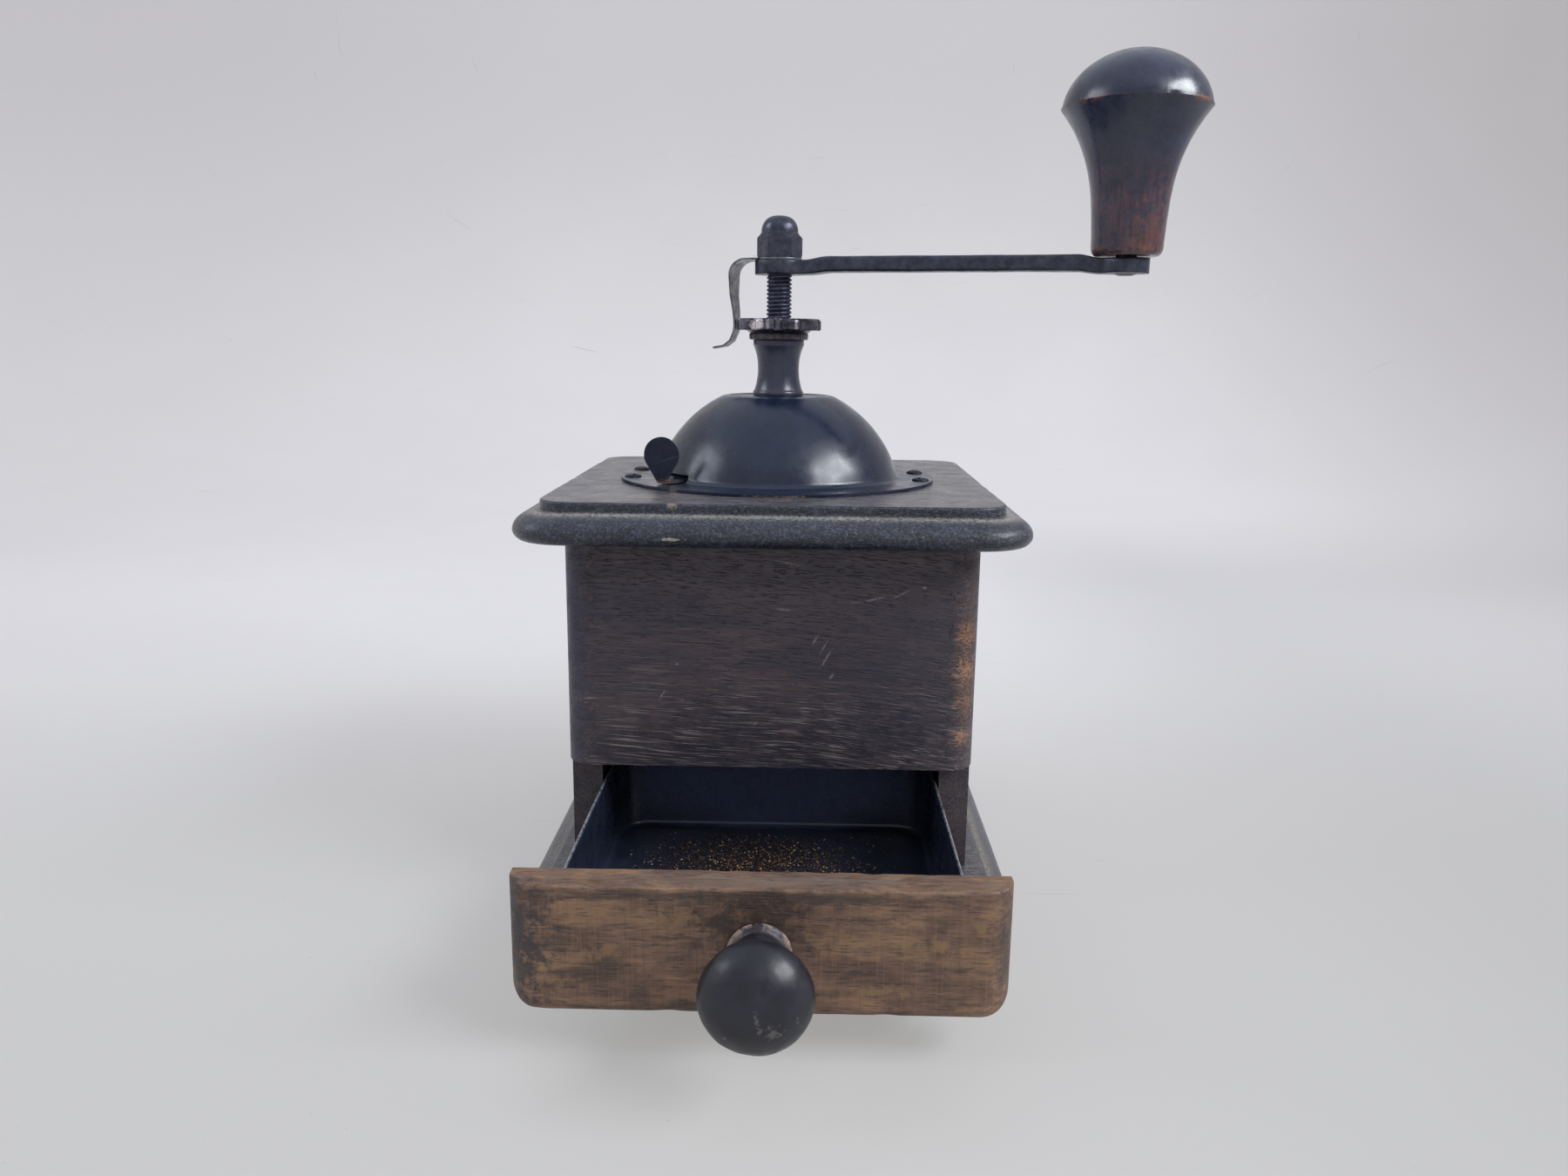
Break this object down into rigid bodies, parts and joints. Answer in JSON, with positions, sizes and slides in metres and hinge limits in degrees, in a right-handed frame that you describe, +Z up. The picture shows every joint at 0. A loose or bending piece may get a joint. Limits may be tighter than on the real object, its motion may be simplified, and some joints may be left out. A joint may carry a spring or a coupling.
{
  "type": "hand crank coffee grinder",
  "caption": "Wooden box coffee mill with a steel dome, side-swinging crank, burr gear, adjusting nut and a pull-out drawer for the ground coffee.",
  "frame": {"origin": "middle of the base board's underside", "axes": "+Z up along the spindle, -Y towards the drawer knob, +X to the right as seen from the drawer"},
  "size_m": [0.1972, 0.2365, 0.2505],
  "materials": {
    "dark_lacquered_wood": "black-brown lacquer, orange-peel texture, worn",
    "stained_wood": "dark brown stain, wavy grain, scratched",
    "worn_wood": "mid brown, stain worn through",
    "turned_wood": "black-brown turned wood, satin",
    "blue_black_enamel": "blue-black baked enamel, satin gloss",
    "black_tin": "black japanned tinplate, gloss",
    "cast_iron": "oiled grey casting",
    "dark_steel": "darkened steel, dull",
    "spring_steel": "bare grey spring steel",
    "screw_steel": "dull plain steel"
  },
  "bodies": {
    "case": {"base_board": "dark_lacquered_wood", "left_panel": "stained_wood", "right_panel": "stained_wood", "back_panel": "stained_wood", "front_panel": "stained_wood", "top_board": "dark_lacquered_wood", "base_screws": "screw_steel", "dome_cover": "blue_black_enamel", "flange_screws": "screw_steel", "neck_bush": "blue_black_enamel", "burr_housing": "cast_iron", "housing_screws": "screw_steel", "bearing_bridge": "dark_steel", "bridge_screws": "screw_steel"},
    "door": {"filler_door": "blue_black_enamel"},
    "washer": {"spindle_washer": "dark_steel"},
    "nut": {"adjusting_nut": "dark_steel"},
    "crank": {"spindle": "dark_steel", "burr_cone": "cast_iron", "burr_pin": "screw_steel", "crank_arm": "dark_steel", "locking_leaf": "spring_steel", "cap_nut": "dark_steel", "knob_rivet": "dark_steel"},
    "knob": {"crank_knob": "turned_wood"},
    "drawer": {"drawer_front": "worn_wood", "drawer_tray": "black_tin", "tray_screws": "screw_steel", "drawer_knob": "turned_wood", "drawer_knob_screw": "screw_steel"}
  },
  "joints": [
    {"name": "crank_spin", "type": "hinge", "parent": "case", "child": "washer", "pos_m": [0, 0, 0.17], "axis": [0, 0, 1], "continuous": true},
    {"name": "spindle_lift", "type": "slide", "parent": "washer", "child": "crank", "axis": [0, 0, 1], "range_m": [-0.00125, 0.00063]},
    {"name": "nut_turn", "type": "hinge", "parent": "washer", "child": "nut", "pos_m": [0, 0, 0.174], "axis": [0, 0, 1], "range_deg": [-180, 360]},
    {"name": "knob_spin", "type": "hinge", "parent": "crank", "child": "knob", "pos_m": [0.10239, -0.02744, 0.2], "axis": [0, 0, 1], "continuous": true},
    {"name": "door_turn", "type": "hinge", "parent": "case", "child": "door", "pos_m": [0, 0, 0.15], "axis": [0, 0, 1], "range_deg": [-65, 0]},
    {"name": "drawer_slide", "type": "slide", "parent": "case", "child": "drawer", "axis": [0, 1, 0], "range_m": [-0.01, 0.075]}
  ],
  "couplings": [
    {"joint": "nut_turn", "follows": "spindle_lift", "rad_per_m": -5026.5}
  ]
}
